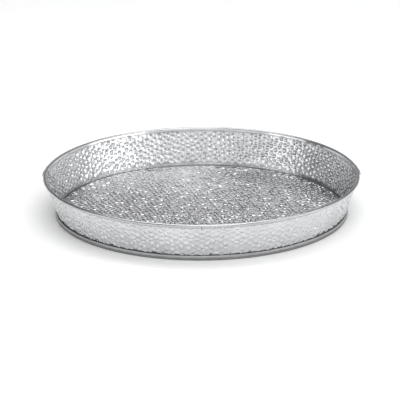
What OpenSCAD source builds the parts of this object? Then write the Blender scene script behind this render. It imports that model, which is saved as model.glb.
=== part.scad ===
// Round hammered serving tray: two wall halves lapped at the sides, a wired rim and a double-seamed floor.
// Millimetres, +Z up, the front of the tray towards -Y, the origin on the ground under the middle.

/* [Tray] */
// Diameter over the rim bead
rim_d = 404; // [340:0.1:480]
// Diameter over the foot seam
base_d = 374; // [300:0.1:420]
// Height from the ground to the top of the rim
tray_h = 50.8; // [36:0.1:76]
// Height of the floor's upper face above the ground
floor_z = 2.2; // [2.2:0.1:5]

/* [Sheet] */
// Thickness of the sheet metal
sheet_t = 0.6; // [0.4:0.05:0.7]
// Clearance between folded layers
fold_gap = 0.05; // [0.03:0.01:0.1]
// Radius of the bend where the wall starts to flare
flare_r = 4; // [2:0.1:8]

/* [Rim] */
// Diameter of the wire inside the rim
wire_d = 3.2; // [2.4:0.1:5]
// Gap between the two ends of the wire
wire_gap = 0.8; // [0.4:0.1:2]
// Width of the slit in the rim where the wire ends meet
slit_w = 1.2; // [0.8:0.1:2.4]

/* [Foot seam] */
// Height of the seam band
seam_h = 6.3; // [5.4:0.1:9]
// Height of the sealant bead inside the seam
sealant_h = 0.4; // [0.3:0.05:0.6]

/* [Side laps] */
// Angle from the tray's side to the lap's inner edge, towards the back
lap_a = 5.5; // [2:0.1:12]
// Width of the lap
lap_w = 12; // [8:0.5:20]
// Gap between the two halves where they butt in the foot seam
butt_gap = 0.2; // [0.1:0.05:0.5]
// How far the rim's loose lap end reaches past the lap's inner edge
ear_l = 18; // [3:0.5:18]
// How far the tip of the loose lap end springs outwards
ear_lift = 0.8; // [0.2:0.1:2]

/* [Hidden] */
$fn = 96;
bend_step = 10;
layer = sheet_t + fold_gap;
half_t = sheet_t / 2;

// Foot seam: five layers, from the seam's outer face inwards
seam_out_r = base_d / 2 - half_t;
body_hook_r = seam_out_r - layer;
end_hook_r = seam_out_r - 2 * layer;
body_r = seam_out_r - 3 * layer;
chuck_r = seam_out_r - 4 * layer;
floor_fold_r = sheet_t;
foot_bend_r = sheet_t;
foot_run = seam_out_r - chuck_r - 2 * foot_bend_r;
floor_mid_z = floor_z - half_t;
seam_turn_z = seam_h - half_t - layer;
body_turn_z = sheet_t + fold_gap + half_t + layer;
hook_tip_z = seam_turn_z - fold_gap - sealant_h;
end_tip_z = body_turn_z + 4 * fold_gap;

// Rim bead and the wall between foot and rim
curl_r = wire_d / 2 + fold_gap + half_t;
bead_r = curl_r + half_t;
bead_c = [rim_d / 2 - bead_r, tray_h - bead_r];
curl_turn = 300;
flare_z = seam_h - half_t;
flare_side = bead_c[0] - curl_r < body_r ? -1 : 1;
flare_off = flare_side * flare_r;
flare_c = [body_r + flare_off, flare_z];
span = bead_c - flare_c;
wall_a = atan2(span[1], span[0]) - asin((flare_off - curl_r) / norm(span));
wall_run = sqrt(span * span - pow(flare_off - curl_r, 2));
wall_start = flare_c + flare_off * [cos(wall_a + 90), sin(wall_a + 90)];

// Side laps
lap_in = half_t + fold_gap;
lap_out = lap_in + sheet_t;
wall_mid_r = (body_r + bead_c[0]) / 2;
mm_deg = 180 / (PI * wall_mid_r);
front_end_a = lap_a + lap_w * mm_deg;
back_end_a = front_end_a + butt_gap * mm_deg;
joggle_a = 2 * layer * mm_deg;
ear_a = lap_a - ear_l * mm_deg;
ear_half_a = 30;
ear_mid_r = curl_r + layer;
ear_half_t = 0.4 * sheet_t;
ear_start = bead_c + ear_mid_r * unit(ear_half_a);
ear_root = 2 * sheet_t;
ear_root_a = lap_a + ear_root * mm_deg;
ear_pivot = (bead_c[0] + ear_mid_r) * unit(ear_root_a);
ear_swing = asin(ear_lift / (ear_l + ear_root));
reach = rim_d;

// Unit vector at an angle
function unit(a) = [cos(a), sin(a)];

// Sheet moves: a straight run of a length, or a bend of a radius through an angle
function run(l) = [l, 0, 0];
function bend(r, turn) = [0, r, turn];

// Where a move leaves the sheet's middle line
function bend_centre(p, a, m) = p + sign(m[2]) * m[1] * unit(a + 90);
function on_bend(c, a, m, f) = c - sign(m[2]) * m[1] * unit(a + m[2] * f + 90);
function after(p, a, m) = m[2] == 0 ? p + m[0] * unit(a) : on_bend(bend_centre(p, a, m), a, m, 1);

// Points of one move at an offset to the left of the middle line, without its last point
function move_points(p, a, m, off) =
    let (steps = max(1, ceil(abs(m[2]) / bend_step)))
    m[2] == 0
        ? [p + off * unit(a + 90)]
        : [for (k = [0 : steps - 1])
            on_bend(bend_centre(p, a, m), a, m, k / steps) + off * unit(a + m[2] * k / steps + 90)];

// One face of a folded sheet
function face(moves, p, a, off, i = 0) =
    i == len(moves)
        ? [p + off * unit(a + 90)]
        : concat(
            move_points(p, a, moves[i], off),
            face(moves, after(p, a, moves[i]), a + moves[i][2], off, i + 1));

function backwards(points) = [for (i = [len(points) - 1 : -1 : 0]) points[i]];

// Section of a folded sheet between two offsets from its middle line
module section(moves, p, a, off_a, off_b)
    polygon(concat(face(moves, p, a, off_a), backwards(face(moves, p, a, off_b))));

// Floor from its middle: over the edge, down, under the foot, up the seam and down behind the body hook
floor_moves = [
    run(chuck_r - floor_fold_r),
    bend(floor_fold_r, -90),
    run(floor_mid_z - floor_fold_r - foot_bend_r - half_t),
    bend(foot_bend_r, 90),
    run(foot_run),
    bend(foot_bend_r, 90),
    run(seam_turn_z - foot_bend_r - half_t),
    bend(layer, 180),
    run(seam_turn_z - end_tip_z)
];

// Wall above the foot: the flared band and the rim curl
upper_moves = [run(wall_run), bend(curl_r, -curl_turn)];

// Whole wall from the tip of its foot hook
wall_moves = concat(
    [
        run(hook_tip_z - body_turn_z),
        bend(layer, -180),
        run(flare_z - body_turn_z),
        bend(flare_r, wall_a - 90)
    ],
    upper_moves);

// Loose end of the rim's lap, on the outer side of the bead, before it springs outwards
ear_moves = [bend(ear_mid_r, -2 * ear_half_a)];

// Wedge about the axis between two angles less than half a turn apart
module wedge(a0, a1)
    linear_extrude(3 * tray_h, center = true)
        polygon([[0, 0], reach * unit(a0), reach * unit((a0 + a1) / 2) * 2, reach * unit(a1)]);

// Ring of a folded wall section
module wall_ring(moves, p, a, off_a, off_b)
    rotate_extrude()
        section(moves, p, a, off_a, off_b);

module whole_wall()
    wall_ring(wall_moves, [body_hook_r, hook_tip_z], -90, -half_t, half_t);

// Lap at the right side: the joggle, the lapped layer and the rim's loose end
module lap()
{
    intersection()
    {
        wall_ring(upper_moves, wall_start, wall_a, -half_t, lap_out);
        wedge(back_end_a, back_end_a + joggle_a);
    }
    intersection()
    {
        wall_ring(upper_moves, wall_start, wall_a, lap_in, lap_out);
        wedge(lap_a, back_end_a + joggle_a / 2);
    }
    translate(ear_pivot)
        rotate(ear_swing)
            translate(-ear_pivot)
                intersection()
                {
                    wall_ring(ear_moves, ear_start, ear_half_a - 90, -ear_half_t, ear_half_t);
                    wedge(ear_a, ear_root_a);
                }
}

module floor_panel()
    color("silver")
        rotate_extrude()
            section(floor_moves, [0, floor_mid_z], 0, -half_t, half_t);

module wall_front()
    color("gainsboro")
        difference()
        {
            intersection()
            {
                whole_wall();
                union()
                {
                    wedge(-90, front_end_a);
                    wedge(180 - front_end_a, 270);
                }
            }
            translate([-slit_w / 2, -bead_c[0] - 2 * bead_r, bead_c[1] - 2 * bead_r])
                cube([slit_w, 2 * bead_r, 2 * bead_r]);
        }

module wall_back()
    color("lightgrey")
    {
        intersection()
        {
            whole_wall();
            wedge(back_end_a, 180 - back_end_a);
        }
        lap();
        mirror([1, 0, 0])
            lap();
    }

module rim_wire()
    color("dimgray")
        difference()
        {
            rotate_extrude()
                translate(bead_c)
                    circle(d = wire_d);
            translate([-wire_gap / 2, -bead_c[0] - wire_d, bead_c[1] - wire_d])
                cube([wire_gap, 2 * wire_d, 2 * wire_d]);
        }

module seam_sealant()
    color("black")
        rotate_extrude()
            translate([body_hook_r - half_t, hook_tip_z + fold_gap / 2])
                square([sheet_t, sealant_h]);

floor_panel();
wall_front();
wall_back();
rim_wire();
seam_sealant();
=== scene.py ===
import math
import random

import bmesh
import bpy
from mathutils import Matrix, Vector


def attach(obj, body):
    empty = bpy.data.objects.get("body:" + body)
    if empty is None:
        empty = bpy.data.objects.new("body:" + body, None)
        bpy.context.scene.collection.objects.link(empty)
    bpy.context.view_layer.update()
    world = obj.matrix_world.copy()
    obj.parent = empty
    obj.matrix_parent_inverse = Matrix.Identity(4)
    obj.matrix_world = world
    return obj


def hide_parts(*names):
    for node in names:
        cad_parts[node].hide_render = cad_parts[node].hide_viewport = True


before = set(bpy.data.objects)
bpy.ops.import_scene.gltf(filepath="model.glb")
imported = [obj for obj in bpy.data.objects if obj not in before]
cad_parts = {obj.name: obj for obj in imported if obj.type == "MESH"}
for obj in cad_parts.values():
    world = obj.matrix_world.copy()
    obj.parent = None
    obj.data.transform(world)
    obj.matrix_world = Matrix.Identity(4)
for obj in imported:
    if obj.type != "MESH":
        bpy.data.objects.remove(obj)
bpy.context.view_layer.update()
mm = 0.001

# sheet and fold sizes as the solids have them, but the rim and the loose laps are a hair smaller, so that the
# hammered pieces stay inside the solids' box; angles are in degrees
tray = {
    "rimRadius": 201.95 * mm,
    "height": 50.798 * mm,
    "footRadius": 187.0 * mm,
    "seamHeight": 6.3 * mm,
    "floorTop": 2.2 * mm,
    "sheet": 0.6 * mm,
    "foldGap": 0.05 * mm,
    "wire": 3.2 * mm,
    "curlTurn": 300,
    "flareRadius": 4.0 * mm,
    "sealant": 0.4 * mm,
    "lapAngle": 5.5,
    "lapWidth": 12.0 * mm,
    "buttGap": 0.2 * mm,
    "earLength": 18.0 * mm,
    "earLift": 0.75 * mm,
    "earHalfAngle": 30,
    "slitWidth": 1.2 * mm,
}

# vertices closer together than these become one, and a vertex this close to a cut lies on it
weld = {"section": 0.01 * mm, "wall": 0.02 * mm, "floor": 0.03 * mm, "cut": 0.001 * mm}

layer = tray["sheet"] + tray["foldGap"]
halfSheet = tray["sheet"] / 2
seamRadius = tray["footRadius"] - halfSheet
hookRadius = seamRadius - layer
bodyRadius = seamRadius - 3 * layer
chuckRadius = seamRadius - 4 * layer
foldRadius = tray["sheet"]
footBend = tray["sheet"]
floorMid = tray["floorTop"] - halfSheet
seamTurn = tray["seamHeight"] - halfSheet - layer
bodyTurn = layer + halfSheet + layer
hookTip = seamTurn - tray["foldGap"] - tray["sealant"]
endTip = bodyTurn + 4 * tray["foldGap"]
curlRadius = tray["wire"] / 2 + tray["foldGap"] + halfSheet
curlReach = 1.02 * curlRadius  # what is nearer to the bead's middle than this belongs to the curl
beadRadius = curlRadius + halfSheet
beadCentre = Vector((tray["rimRadius"] - beadRadius, 0, tray["height"] - beadRadius))
flareCentre = Vector((bodyRadius + tray["flareRadius"], 0, tray["seamHeight"] - halfSheet))
span = beadCentre - flareCentre
radiusStep = tray["flareRadius"] - curlRadius
wallLean = math.degrees(math.atan2(span.z, span.x) - math.asin(radiusStep / span.length))
wallRun = math.sqrt(span.length_squared - radiusStep ** 2)
wallMid = (bodyRadius + beadCentre.x) / 2
degPerMetre = 180 / (math.pi * wallMid)
frontEnd = tray["lapAngle"] + tray["lapWidth"] * degPerMetre
backEnd = frontEnd + tray["buttGap"] * degPerMetre
earAngle = tray["lapAngle"] - tray["earLength"] * degPerMetre
earRoot = tray["lapAngle"] + 2 * tray["sheet"] * degPerMetre


def heading(angle):
    return Vector((math.cos(math.radians(angle)), 0, math.sin(math.radians(angle))))


# a folded section grows from one vertex: a run extrudes it, a bend spins it
def runOn(bm, vert, angle, length, parts):
    for _ in range(parts):
        vert = bmesh.ops.extrude_vert_indiv(bm, verts=[vert])["verts"][0]
        vert.co += heading(angle) * (length / parts)
    return vert, angle


def bendOn(bm, vert, angle, radius, turn, parts):
    side = 1 if turn > 0 else -1
    centre = vert.co + heading(angle + 90) * radius * side
    made = bmesh.ops.spin(
        bm, geom=[vert], cent=centre, axis=(0, -1, 0), angle=math.radians(turn), steps=parts,
    )
    last = [v for v in made["geom_last"] if isinstance(v, bmesh.types.BMVert)][0]
    return last, angle + turn


def foldSection(bm, start, angle, moves):
    vert = bmesh.ops.create_vert(bm, co=start)["vert"][0]
    for kind, *sizes in moves:
        vert, angle = (runOn if kind == "run" else bendOn)(bm, vert, angle, *sizes)


def spinSection(bm, first, last, steps):
    start = Matrix.Rotation(math.radians(first), 3, "Z")
    bmesh.ops.rotate(bm, verts=bm.verts, cent=(0, 0, 0), matrix=start)
    full = abs(last - first) > 359.9
    bmesh.ops.spin(
        bm, geom=bm.verts[:] + bm.edges[:], cent=(0, 0, 0), axis=(0, 0, 1),
        angle=math.radians(last - first), steps=steps, use_merge=full,
    )
    bmesh.ops.remove_doubles(bm, verts=bm.verts, dist=weld["section"])


def joinInto(bm, other):
    mesh = bpy.data.meshes.new("joined")
    other.to_mesh(mesh)
    other.free()
    bm.from_mesh(mesh)
    bpy.data.meshes.remove(mesh)


def finishSheet(bm, name, node, probe, towards):
    # the probe is a face that has to look towards a known side
    bmesh.ops.recalc_face_normals(bm, faces=bm.faces)
    bm.normal_update()
    if probe.normal.dot(towards) < 0:
        bmesh.ops.reverse_faces(bm, faces=bm.faces)
    for face in bm.faces:
        face.smooth = True
    for edge in bm.edges:
        if edge.is_boundary:
            edge.smooth = False
    mesh = bpy.data.meshes.new(name)
    bm.to_mesh(mesh)
    bm.free()
    piece = bpy.data.objects.new(name, mesh)
    bpy.context.scene.collection.objects.link(piece)
    thick = piece.modifiers.new("sheet", "SOLIDIFY")
    thick.thickness = tray["sheet"]
    thick.offset = 0
    piece.data.materials.append(steel)
    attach(piece, "root")
    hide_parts(node)
    print(name, "made with", len(mesh.polygons), "faces before its thickness")


# hammer marks: on a lattice of triangles every third point is the middle of a mark. The middles stray at
# random, each other point settles between the three middles next to it, and between those points run ridges
hammer = {
    "seed": 41,
    "wallDepth": 1.45 * mm,
    "wallSpread": 0.4,
    "wallStray": 0.42,
    "floorDepth": 0.73 * mm,
    "floorSpread": 0.14,
    "floorStray": 0.38,
    "ridgeShare": 0.4,
    "wallMarginRim": 3.0 * mm,
    "floorMargin": 0.4 * mm,
    "fadeFoot": 0.7 * mm,
    "seamShare": 0.12,
    "seamPress": 0.15 * mm,
    "fadeSeam": 3.0 * mm,
    "fade": 1.8 * mm,
}
ridgeLimit = 0.01  # a point with less than this share of a middle lies on a ridge


def smoothStep(x):
    x = max(0.0, min(1.0, x))
    return x * x * (3 - 2 * x)


def markLayers(bm):
    return bm.verts.layers.float.new("middle"), bm.verts.layers.float.new("deep")


def dish(middle, deep, depth):
    # how far a point is sunk, seen from inside: middle is 1 in the middle of a mark and 0 on its ridges
    if middle < ridgeLimit:
        return -hammer["ridgeShare"] * depth
    return depth * (deep / middle * (1 - (1 - middle) ** 2) - hammer["ridgeShare"])


def inDisc(draw):
    reach = math.sqrt(draw.random())
    turn = draw.uniform(0, 2 * math.pi)
    return Vector((reach * math.cos(turn), reach * math.sin(turn), 0))


def settleRidges(bm, middle):
    for v in bm.verts:
        if v.is_boundary or v[middle] > 0.5:
            continue
        near = [e.other_vert(v).co for e in v.link_edges if e.other_vert(v)[middle] > 0.5]
        if len(near) == 3:
            v.co = (near[0] + near[1] + near[2]) / 3


def sharpenRidges(bm, middle):
    for edge in bm.edges:
        a, b = edge.verts
        if a[middle] < ridgeLimit and b[middle] < ridgeLimit:
            edge.smooth = False


# metal: bright hammered sheet, dull in clouds, with painted shade in dark rings about the tray's axis and a
# duller rolled rim
metal = {
    "colour": (0.71, 0.715, 0.725),
    "dull": (0.63, 0.635, 0.645),
    "shadeAndDull": (0.16, 0.16, 0.16),
    "limits": (0.3, 0.7),
    "roughness": 0.14,
    "roughSpread": 0.04,
    "shadeRingRoughness": 0.5,
    "cloudScale": 45.0,
    "cloudDetail": 4.0,
    "grainScale": 900.0,
    "grain": 0.04,
    "grainHeight": 0.1 * mm,
    "wanderScale": 170.0,
    "wander": 1.5 * mm,
    "rimRoughness": 0.25,
    "rimDull": 0.26,
    "rimBead": {
        "share": 1.0,
        "radius": (198.0 * mm, 204.5 * mm),
        "radiusSoft": 0.6 * mm,
        "height": (45.5 * mm, 52.0 * mm),
        "heightSoft": 0.5 * mm,
    },
    # rings of painted shade in the creases, at the foot seam and round the rim's curl; the rolled rim above
    # is only a duller tone
    "paintedShadeRings": {
        # painted shade in the crease where the floor meets the wall
        "innerCrease": {
            "share": 0.6,
            "radius": (183.0 * mm, 184.9 * mm),
            "radiusSoft": 1.4 * mm,
            "height": (0.0, 2.0 * mm),
            "heightSoft": 1.2 * mm,
        },
        # painted shade in the crevice above the foot seam, on the outside
        "footCrease": {
            "share": 0.9,
            "radius": (184.95 * mm, 186.4 * mm),
            "radiusSoft": 0.12 * mm,
            "height": (5.6 * mm, 6.4 * mm),
            "heightSoft": 0.25 * mm,
        },
        # painted shade on the foot seam's lower band, standing in for the shadowed floor that it mirrors
        "footBand": {
            "share": 0.8,
            "radius": (186.4 * mm, 187.5 * mm),
            "radiusSoft": 0.3 * mm,
            "height": (0.0, 3.2 * mm),
            "heightSoft": 1.5 * mm,
        },
        # painted shade over the whole foot seam, dimming the highlight on its top
        "footTop": {
            "share": 0.5,
            "radius": (186.2 * mm, 187.5 * mm),
            "radiusSoft": 0.3 * mm,
            "height": (0.0, 7.5 * mm),
            "heightSoft": 0.5 * mm,
        },
        # painted shade in the line where the wall's face meets the rim's curl
        "rimLine": {
            "share": 0.55,
            "radius": (196.5 * mm, 197.1 * mm),
            "radiusSoft": 0.15 * mm,
            "height": (46.4 * mm, 47.1 * mm),
            "heightSoft": 0.35 * mm,
        },
        # painted shade just under the rim's curl
        "underRim": {
            "share": 0.4,
            "radius": (196.55 * mm, 197.2 * mm),
            "radiusSoft": 0.2 * mm,
            "height": (44.3 * mm, 45.3 * mm),
            "heightSoft": 0.4 * mm,
        },
    },
}


def newFinish(name):
    material = bpy.data.materials.new(name)
    material.use_nodes = True
    tree = material.node_tree
    return material, tree.nodes, tree.links, tree.nodes["Principled BSDF"]


def plug(links, value, socket):
    if isinstance(value, bpy.types.NodeSocket):
        links.new(value, socket)
    else:
        socket.default_value = value


def combine(nodes, links, kind, a, b):
    node = nodes.new("ShaderNodeMath")
    node.operation = kind
    plug(links, a, node.inputs[0])
    plug(links, b, node.inputs[1])
    return node.outputs[0]


def blend(nodes, links, share, first, second):
    node = nodes.new("ShaderNodeMix")
    plug(links, share, node.inputs[0])
    plug(links, first, node.inputs[2])
    plug(links, second, node.inputs[3])
    return node.outputs[0]


def ease(nodes, links, value, limits, ends=(0.0, 1.0)):
    # runs smoothly from the first end to the second while the value runs between the limits
    node = nodes.new("ShaderNodeMapRange")
    node.interpolation_type = "SMOOTHSTEP"
    names = ("Value", "From Min", "From Max", "To Min", "To Max")
    for name, given in zip(names, (value, *limits, *ends)):
        plug(links, given, node.inputs[name])
    return node.outputs["Result"]


def between(nodes, links, value, limits, soft):
    # 1 between the limits, falling to 0 over the soft width outside them
    low, high = limits
    rising = ease(nodes, links, value, (low - soft, low))
    falling = ease(nodes, links, value, (high + soft, high))
    return combine(nodes, links, "MULTIPLY", rising, falling)


def noiseOn(nodes, links, place, scale, detail=2.0):
    node = nodes.new("ShaderNodeTexNoise")
    node.inputs["Scale"].default_value = scale
    node.inputs["Detail"].default_value = detail
    links.new(place, node.inputs["Vector"])
    return node.outputs["Fac"]


def tintOf(nodes, links, noise, values):
    ramp = nodes.new("ShaderNodeValToRGB")
    for stop, limit, name in zip(ramp.color_ramp.elements, values["limits"], ("dull", "colour")):
        stop.position = limit
        stop.color = (*values[name], 1)
    links.new(noise, ramp.inputs["Fac"])
    return ramp.outputs["Color"]


def roughnessOf(nodes, links, noise, values):
    node = nodes.new("ShaderNodeMapRange")
    node.inputs["To Min"].default_value = values["roughness"] - values["roughSpread"]
    node.inputs["To Max"].default_value = values["roughness"] + values["roughSpread"]
    links.new(noise, node.inputs["Value"])
    return node.outputs["Result"]


def ringMasks(nodes, links, place, rings):
    # each ring lies between two radii and two heights, and its heights wander a little
    axes = nodes.new("ShaderNodeSeparateXYZ")
    links.new(place, axes.inputs[0])
    x, y, z = axes.outputs
    drift = noiseOn(nodes, links, place, metal["wanderScale"], detail=0.0)
    shift = combine(nodes, links, "SUBTRACT", drift, 0.5)
    z = combine(nodes, links, "ADD", z, combine(nodes, links, "MULTIPLY", shift, metal["wander"]))
    squares = [combine(nodes, links, "MULTIPLY", side, side) for side in (x, y)]
    radius = combine(nodes, links, "POWER", combine(nodes, links, "ADD", *squares), 0.5)
    masks = []
    for ring in rings:
        across = between(nodes, links, radius, ring["radius"], ring["radiusSoft"])
        level = between(nodes, links, z, ring["height"], ring["heightSoft"])
        both = combine(nodes, links, "MULTIPLY", across, level)
        masks.append(combine(nodes, links, "MULTIPLY", both, ring["share"]))
    return masks


def hammeredSteel():
    material, nodes, links, shader = newFinish("hammeredSteel")
    shader.inputs["Metallic"].default_value = 1.0
    place = nodes.new("ShaderNodeTexCoord").outputs["Object"]
    cloud = noiseOn(nodes, links, place, metal["cloudScale"], metal["cloudDetail"])
    # the rings paint shade into the steel's colour, and the rolled rim is only made duller and rougher
    *paintedShades, bead = ringMasks(nodes, links, place, [*metal["paintedShadeRings"].values(), metal["rimBead"]])
    shadeAndDullShare = combine(nodes, links, "MULTIPLY", bead, metal["rimDull"])
    for mask in paintedShades:
        shadeAndDullShare = combine(nodes, links, "MAXIMUM", shadeAndDullShare, mask)
    paintedShadeMix = nodes.new("ShaderNodeMix")
    paintedShadeMix.data_type = "RGBA"
    paintedShadeMix.inputs[7].default_value = (*metal["shadeAndDull"], 1)
    links.new(shadeAndDullShare, paintedShadeMix.inputs[0])
    links.new(tintOf(nodes, links, cloud, metal), paintedShadeMix.inputs[6])
    links.new(paintedShadeMix.outputs[2], shader.inputs["Base Color"])
    polish = roughnessOf(nodes, links, cloud, metal)
    rough = blend(nodes, links, shadeAndDullShare, polish, metal["shadeRingRoughness"])
    rolled = blend(nodes, links, bead, rough, metal["rimRoughness"])
    links.new(rolled, shader.inputs["Roughness"])
    bump = nodes.new("ShaderNodeBump")
    bump.inputs["Strength"].default_value = metal["grain"]
    bump.inputs["Distance"].default_value = metal["grainHeight"]
    links.new(noiseOn(nodes, links, place, metal["grainScale"]), bump.inputs["Height"])
    links.new(bump.outputs["Normal"], shader.inputs["Normal"])
    return material


steel = hammeredSteel()
# the rings counted here are painted shade
print("hammered steel mixed with", len(metal["paintedShadeRings"]), "rings of tarnish")

# floor panel: a hammered disc of triangles, with the foot seam folded from its edge
floorPanel = {
    "rings": 52,
    "turnSteps": 29,
    "rowSpread": 1.05,
    "ringPower": 3,
    "bendParts": 4,
    "seamParts": 6,
}
floorTurn = floorPanel["turnSteps"] * math.pi / (6 * floorPanel["rings"])


def hexPlace(co, rings):
    # column and row of a point in the hexagon's lattice
    turned = Matrix.Rotation(math.radians(-30), 3, "Z") @ co
    row = round(turned.y * rings / math.sin(math.radians(60)))
    return round(turned.x * rings - row / 2), row


def hexToCircle(co, reach):
    # each ring of the hexagon becomes a circle with its points evenly spaced
    if co.length < 1e-6:
        return Vector((0, 0, 0))
    turn = (math.degrees(math.atan2(co.y, co.x)) - 30) % 360
    sector = int(turn // 60)
    inSector = math.radians(turn - 60 * sector - 30)
    ring = co.length * math.cos(inSector) / math.cos(math.radians(30))
    share = 0.5 + math.tan(inSector) / math.tan(math.radians(30)) / 2
    even = math.radians(60 * (sector + share)) + floorTurn
    return Vector((reach * ring * math.cos(even), reach * ring * math.sin(even), 0))


def onFloor(co, reach):
    # straight rows of marks in the middle, bent into rings towards the edge
    rows = Matrix.Rotation(floorTurn - math.radians(30), 3, "Z") @ co * (reach * floorPanel["rowSpread"])
    ring = hexToCircle(co, reach)
    return rows.lerp(ring, (ring.length / reach) ** floorPanel["ringPower"])


def makeFloor():
    draw = random.Random(hammer["seed"])
    rings = floorPanel["rings"]
    flat = chuckRadius - foldRadius
    step = flat / rings
    pitch = step * math.sqrt(3)
    bm = bmesh.new()
    bmesh.ops.create_circle(bm, cap_ends=True, cap_tris=True, segments=6, radius=1)
    bmesh.ops.subdivide_edges(bm, edges=bm.edges, cuts=rings - 1, use_grid_fill=True)
    middle, deep = markLayers(bm)
    for v in bm.verts:
        col, row = hexPlace(v.co, rings)
        v[middle] = 1.0 if (col - row) % 3 == 0 else 0.0
        v[deep] = v[middle] * (1 + hammer["floorSpread"] * draw.uniform(-1, 1))
        v.co = onFloor(v.co, flat)
        inside = smoothStep((flat - v.co.length) / (2 * step))
        v.co += inDisc(draw) * hammer["floorStray"] * pitch * inside
    settleRidges(bm, middle)
    bmesh.ops.subdivide_edges(bm, edges=bm.edges, cuts=1, use_grid_fill=True)
    sharpenRidges(bm, middle)
    for v in bm.verts:
        fade = smoothStep((flat - hammer["floorMargin"] - v.co.xy.length) / hammer["fade"])
        v.co.z = floorMid - dish(v[middle], v[deep], hammer["floorDepth"]) * fade
    edge = bmesh.new()
    parts = floorPanel["bendParts"]
    foldSection(edge, (flat, 0, floorMid), 0, [
        ("bend", foldRadius, -90, parts),
        ("run", floorMid - foldRadius - footBend - halfSheet, 1),
        ("bend", footBend, 90, parts),
        ("run", seamRadius - chuckRadius - 2 * footBend, 1),
        ("bend", footBend, 90, parts),
        ("run", seamTurn - footBend - halfSheet, 2),
        ("bend", layer, 180, floorPanel["seamParts"]),
        ("run", seamTurn - endTip, 1),
    ])
    edgeSteps = 2 * 6 * rings  # the disc has six sides, and each of their edges is halved
    spinSection(edge, 0, 360, edgeSteps)
    joinInto(bm, edge)
    bmesh.ops.remove_doubles(bm, verts=bm.verts, dist=weld["floor"])
    probe = min(bm.faces, key=lambda f: f.calc_center_median().xy.length)
    finishSheet(bm, "floorPanel", "floor_panel", probe, Vector((0, 0, 1)))


# wall halves: one band of marks round the whole tray, from which each half takes its share
wallBand = {"columns": 294, "rows": 14, "foot": 1.9 * mm, "footBendParts": 8, "curlParts": 20}
columnStep = 360 / wallBand["columns"]
wallUp = heading(wallLean)
wallOut = heading(wallLean - 90)
wallStart = flareCentre + heading(wallLean + 90) * tray["flareRadius"]
wallEnd = wallStart + wallUp * wallRun
bodyRun = flareCentre.z - wallBand["foot"]
flareRun = tray["flareRadius"] * math.radians(90 - wallLean)
bandRun = bodyRun + flareRun + wallRun
seamRun = tray["seamHeight"] - wallBand["foot"]
cutSpread = 25  # degrees from an upright cut within which faces are cut or cleared
lapSpread = 12  # degrees from a lap's edge within which the cut across the wall runs


def angleOf(co):
    return math.degrees(math.atan2(co.y, co.x)) % 360


def wallSpot(level):
    # where a level above the band's foot lies on the section, and which way is out of the wall there
    if level < bodyRun:
        return Vector((bodyRadius, 0, wallBand["foot"] + level)), heading(0)
    if level < bodyRun + flareRun:
        turn = math.degrees((level - bodyRun) / tray["flareRadius"])
        return flareCentre + heading(180 - turn) * tray["flareRadius"], heading(-turn)
    return wallStart + wallUp * (level - bodyRun - flareRun), wallOut


def wallStrays():
    draw = random.Random(hammer["seed"] + 1)
    rows = range(wallBand["rows"] + 1)
    return [[(inDisc(draw), draw.uniform(-1, 1)) for _ in range(wallBand["columns"])] for _ in rows]


def bandOf(first, last, strays):
    rows = wallBand["rows"]
    columns = wallBand["columns"]
    lowCol = math.floor(first / columnStep) - rows
    highCol = math.ceil(last / columnStep) + rows
    bm = bmesh.new()
    bmesh.ops.create_grid(bm, x_segments=highCol - lowCol, y_segments=rows, size=1)
    bmesh.ops.triangulate(bm, faces=bm.faces, quad_method="FIXED")
    slants = [e.verts[1].co - e.verts[0].co for e in bm.edges]
    rising = any(s.x * s.y > 1e-9 for s in slants)
    lean = -0.5 if rising else 0.5
    middle, deep = markLayers(bm)
    rise = bandRun / rows
    around = math.radians(columnStep)
    pitch = around * wallMid * math.sqrt(3)
    for v in bm.verts:
        col = lowCol + round((v.co.x + 1) / 2 * (highCol - lowCol))
        row = round((v.co.y + 1) / 2 * rows)
        stray, deeper = strays[row][col % columns]
        v[middle] = 1.0 if (col - round(2 * lean) * row) % 3 == 0 else 0.0
        v[deep] = v[middle] * (1 + hammer["wallSpread"] * deeper)
        inside = hammer["wallStray"] * pitch * smoothStep(min(row, rows - row) / 2)
        v.co = ((col + lean * row) * around + inside * stray.x / wallMid, row * rise + inside * stray.y, 0)
    settleRidges(bm, middle)
    bmesh.ops.subdivide_edges(bm, edges=bm.edges, cuts=1, use_grid_fill=True)
    for v in bm.verts:
        turn, level, _ = v.co
        fade = smoothStep(level / hammer["fadeFoot"])
        fade *= smoothStep((bandRun - hammer["wallMarginRim"] - level) / hammer["fade"])
        # in the seam the marks are flatter and pressed inwards, clear of the other layers
        free = smoothStep((level - seamRun) / hammer["fadeSeam"])
        depth = hammer["wallDepth"] * (hammer["seamShare"] + (1 - hammer["seamShare"]) * free)
        pressed = hammer["seamPress"] * smoothStep((seamRun - level) / hammer["fade"])
        mark = dish(v[middle], v[deep], depth) - pressed
        spot, out = wallSpot(level)
        v.co = Matrix.Rotation(turn, 3, "Z") @ (spot + out * mark * fade)
    return bm


def ringOf(start, angle, moves, first, last):
    bm = bmesh.new()
    foldSection(bm, start, angle, moves)
    half = columnStep / 2
    low = math.floor(first / half) - 1
    high = math.ceil(last / half) + 1
    spinSection(bm, low * half, high * half, high - low)
    return bm


def cutFaces(bm, near, spot, normal, clear=None):
    edges = {e for f in near for e in f.edges}
    verts = {v for f in near for v in f.verts}
    bmesh.ops.bisect_plane(
        bm, geom=near + list(edges) + list(verts), dist=weld["cut"], plane_co=spot, plane_no=normal,
        clear_outer=clear == "after", clear_inner=clear == "before",
    )


def cutAt(bm, turn, clear=None):
    # an upright cut through the axis, of the side that lies at the turn
    near = []
    for f in bm.faces:
        gap = (angleOf(f.calc_center_median()) - turn + 180) % 360 - 180
        if abs(gap) < cutSpread:
            near.append(f)
    tilt = math.radians(turn)
    cutFaces(bm, near, (0, 0, 0), (-math.sin(tilt), math.cos(tilt), 0), clear)


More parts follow.
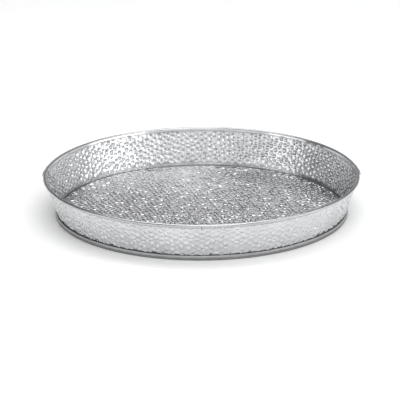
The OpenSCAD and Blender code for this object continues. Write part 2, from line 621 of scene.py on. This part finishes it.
def cutLevel(bm, turn):
    # a cut across the wall at the foot of the lap
    around = Matrix.Rotation(math.radians(turn), 3, "Z")
    near = [f for f in bm.faces if abs(angleOf(f.calc_center_median()) - turn) < lapSpread]
    cutFaces(bm, near, around @ wallStart, around @ wallUp)


def makeWall(name, node, first, last, trim):
    bm = bandOf(first, last, strays)
    foot = ringOf((hookRadius, 0, hookTip), -90, [
        ("run", hookTip - bodyTurn, 1),
        ("bend", layer, -180, wallBand["footBendParts"]),
        ("run", wallBand["foot"] - bodyTurn, 1),
    ], first, last)
    curl = [("bend", curlRadius, -tray["curlTurn"], wallBand["curlParts"])]
    joinInto(bm, foot)
    joinInto(bm, ringOf(wallEnd, wallLean, curl, first, last))
    bmesh.ops.remove_doubles(bm, verts=bm.verts, dist=weld["wall"])
    cutAt(bm, first, "before")
    cutAt(bm, last, "after")
    trim(bm)
    probe = min(bm.faces, key=lambda f: abs(f.calc_center_median().z - tray["height"] / 2))
    centre = probe.calc_center_median()
    finishSheet(bm, name, node, probe, Vector((-centre.x, -centre.y, 0)))


def trimFront(bm):
    # the slit that shows where the wire's ends meet
    half = math.degrees(tray["slitWidth"] / 2 / beadCentre.x)
    cutAt(bm, 270 - half)
    cutAt(bm, 270 + half)
    slit = []
    for f in bm.faces:
        c = f.calc_center_median()
        outer = c.xy.length > beadCentre.x and tray["height"] / 2 < c.z < beadCentre.z
        if outer and abs(angleOf(c) - 270) < half:
            slit.append(f)
    bmesh.ops.delete(bm, geom=slit, context="FACES")


def sideOf(co):
    turn = angleOf(co)
    return min(turn, 180 - turn)


def trimBack(bm):
    # lap at each end: no foot hook there, the sheet joggled over the front half, and a loose end on the rim
    joggle = 2 * layer * degPerMetre
    for turn in (tray["lapAngle"], backEnd, backEnd + joggle):
        cutAt(bm, turn)
        cutAt(bm, 180 - turn)
    for turn in (tray["lapAngle"], 180 - tray["lapAngle"]):
        cutLevel(bm, turn)
    gone = []
    for f in bm.faces:
        c = f.calc_center_median()
        flatCo = Vector((c.xy.length, 0, c.z))
        fromBead = flatCo - beadCentre
        spot = math.degrees(math.atan2(fromBead.z, fromBead.x))
        onEar = abs(spot) < tray["earHalfAngle"] and fromBead.length < 2 * curlRadius
        inFoot = (flatCo - wallStart).dot(wallUp) < 0
        if sideOf(c) < tray["lapAngle"] and not onEar or sideOf(c) < backEnd and inFoot:
            gone.append(f)
    bmesh.ops.delete(bm, geom=gone, context="FACES")
    for v in bm.verts:
        side = sideOf(v.co)
        if side > backEnd + joggle:
            continue
        radial = Vector((v.co.x, v.co.y, 0)).normalized()
        fromBead = Vector((v.co.xy.length, 0, v.co.z)) - beadCentre
        out = fromBead.normalized() if fromBead.length < curlReach else -wallOut
        lift = layer * smoothStep((backEnd + joggle - side) / joggle)
        spring = tray["earLift"] * max(0.0, (earRoot - side) / (earRoot - earAngle))
        v.co += radial * (out.x * lift + spring) + Vector((0, 0, out.z * lift))


strays = wallStrays()
makeFloor()
makeWall("wallFront", "wall_front", 180 - frontEnd, 360 + frontEnd, trimFront)
makeWall("wallBack", "wall_back", earAngle, 180 - earAngle, trimBack)

# the wire and the sealant keep their solids; the wire is coloured near black as painted shade where it shows
# in the rim's slit
wire = {
    # near black: painted shade for the dark slit in the rim
    "colour": (0.08, 0.08, 0.083),
    "dull": (0.05, 0.05, 0.052),
    "limits": (0.35, 0.65),
    "roughness": 0.42,
    "roughSpread": 0.08,
    "speckScale": 500.0,
    "speckDetail": 3.0,
    "metallic": 1.0,
}
sealant = {
    "colour": (0.035, 0.035, 0.037),
    "dull": (0.02, 0.02, 0.021),
    "limits": (0.35, 0.65),
    "roughness": 0.75,
    "roughSpread": 0.08,
    "speckScale": 700.0,
    "speckDetail": 3.0,
    "metallic": 0.0,
}


def speckledFinish(name, values):
    material, nodes, links, shader = newFinish(name)
    shader.inputs["Metallic"].default_value = values["metallic"]
    place = nodes.new("ShaderNodeTexCoord").outputs["Object"]
    speck = noiseOn(nodes, links, place, values["speckScale"], values["speckDetail"])
    links.new(tintOf(nodes, links, speck, values), shader.inputs["Base Color"])
    links.new(roughnessOf(nodes, links, speck, values), shader.inputs["Roughness"])
    return material


def dress(node, material):
    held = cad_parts[node]
    held.data.materials.clear()
    held.data.materials.append(material)


dress("rim_wire", speckledFinish("drawnWire", wire))
dress("seam_sealant", speckledFinish("seamSealant", sealant))
print("wire and sealant dressed")

# stage: a pale floor, studio walls and soft lamps; sines are of the height above the horizon, and cosines
# of the turn from the bright side
stage = {
    "floorSize": 60.0,
    "floorColour": (0.97, 0.97, 0.97),
    "floorRoughness": 0.95,
    "floorShine": 0.1,
    "floorGlow": 0.13,
    "tint": (0.99, 1.0, 1.01),
    "horizonBright": 0.92,
    "horizonDim": 0.22,
    "brightTurn": 25.0,  # degrees from the front to the right
    "brightCosines": (-0.5, 0.5),
    "overhead": 0.06,
    "fadeSines": (0.5, 0.68),
    "backdrop": 1.0,
    "backdropSines": (0.08, 0.18),
}
lamps = {
    "frontTop": {"place": (0.2, -1.4, 2.0), "size": (1.4, 1.4), "glow": 1.95},
    "topSoft": {"place": (0.1, 0.45, 2.3), "size": (2.8, 1.6), "glow": 2.75},
    "backSoft": {"place": (0.3, 2.8, 2.0), "size": (1.7, 1.2), "glow": 0.8},
    "keyRight": {"place": (2.6, -0.9, 1.15), "size": (2.6, 1.7), "glow": 0.95},
    "leftFill": {"place": (-2.6, -0.9, 1.0), "size": (1.6, 1.2), "glow": 0.95},
}


def paleFloor():
    material, nodes, links, shader = newFinish("paleFloor")
    shader.inputs["Base Color"].default_value = (*stage["floorColour"], 1)
    shader.inputs["Roughness"].default_value = stage["floorRoughness"]
    shader.inputs["Specular IOR Level"].default_value = stage["floorShine"]
    shader.inputs["Emission Color"].default_value = (1, 1, 1, 1)
    rays = nodes.new("ShaderNodeLightPath")
    seen = rays.outputs["Is Camera Ray"]
    for kind in ("Is Glossy Ray", "Is Transmission Ray"):
        seen = combine(nodes, links, "MAXIMUM", seen, rays.outputs[kind])
    glow = combine(nodes, links, "MULTIPLY", seen, stage["floorGlow"])
    links.new(glow, shader.inputs["Emission Strength"])
    return material


def makeFloorPaper():
    bm = bmesh.new()
    bmesh.ops.create_grid(bm, x_segments=1, y_segments=1, size=stage["floorSize"] / 2)
    mesh = bpy.data.meshes.new("studioFloor")
    bm.to_mesh(mesh)
    bm.free()
    floor = bpy.data.objects.new("studioFloor", mesh)
    bpy.context.scene.collection.objects.link(floor)
    mesh.materials.append(paleFloor())


def makeStudioWalls():
    # pale above the horizon at the front and the right, dim at the back, the left and overhead, with a
    # white backdrop low all round
    world = bpy.data.worlds.new("studio")
    bpy.context.scene.world = world
    world.use_nodes = True
    nodes = world.node_tree.nodes
    links = world.node_tree.links
    sky = nodes["Background"]
    sky.inputs["Color"].default_value = (*stage["tint"], 1)
    axes = nodes.new("ShaderNodeSeparateXYZ")
    links.new(nodes.new("ShaderNodeTexCoord").outputs["Generated"], axes.inputs[0])
    x, y, z = axes.outputs
    side = math.radians(stage["brightTurn"])
    right = combine(nodes, links, "MULTIPLY", x, math.sin(side))
    back = combine(nodes, links, "MULTIPLY", y, math.cos(side))
    facing = combine(nodes, links, "SUBTRACT", right, back)
    brightness = (stage["horizonDim"], stage["horizonBright"])
    horizon = ease(nodes, links, facing, stage["brightCosines"], brightness)
    walls = ease(nodes, links, z, stage["fadeSines"], (horizon, stage["overhead"]))
    backdrop = ease(nodes, links, z, stage["backdropSines"], (stage["backdrop"], 0.0))
    links.new(combine(nodes, links, "MAXIMUM", walls, backdrop), sky.inputs["Strength"])


def softbox(name, values):
    lamp = bpy.data.lights.new(name, "AREA")
    lamp.shape = "RECTANGLE"
    lamp.size, lamp.size_y = values["size"]
    lamp.energy = values["glow"] * math.pi * lamp.size * lamp.size_y
    box = bpy.data.objects.new(name, lamp)
    bpy.context.scene.collection.objects.link(box)
    box.location = values["place"]
    box.rotation_euler = (-Vector(values["place"])).to_track_quat("-Z", "Y").to_euler()


makeFloorPaper()
makeStudioWalls()
for name, values in lamps.items():
    softbox(name, values)
print("stage lit with", len(lamps), "soft lamps")

# camera at the photo's angle, its elevation and roll in degrees
view = {
    "distance": 3.5,
    "elevation": 18.93,
    "focalPixels": 2731.7,
    "framePixels": 400,
    "sensor": 36.0,
    "clipEnd": 50.0,
    "aim": (-2.0 * mm, 0, 14.8 * mm),
    "roll": -0.298,
}


def makeCamera():
    lens = bpy.data.cameras.new("camera")
    lens.sensor_width = view["sensor"]
    lens.lens = view["focalPixels"] * view["sensor"] / view["framePixels"]
    lens.clip_end = view["clipEnd"]
    camera = bpy.data.objects.new("camera", lens)
    bpy.context.scene.collection.objects.link(camera)
    tilt = math.radians(view["elevation"])
    place = Vector((0, -view["distance"] * math.cos(tilt), view["distance"] * math.sin(tilt)))
    look = (Vector(view["aim"]) - place).normalized()
    right = look.cross(Vector((0, 0, 1))).normalized()
    up = right.cross(look)
    roll = math.radians(view["roll"])
    axisX = right * math.cos(roll) + up * math.sin(roll)
    axisY = up * math.cos(roll) - right * math.sin(roll)
    turn = Matrix((axisX, axisY, -look)).transposed().to_4x4()
    camera.matrix_world = Matrix.Translation(place) @ turn
    bpy.context.scene.camera = camera
    print("camera set", view["distance"], "m from the tray")


makeCamera()
bpy.context.scene.view_settings.view_transform = "Standard"
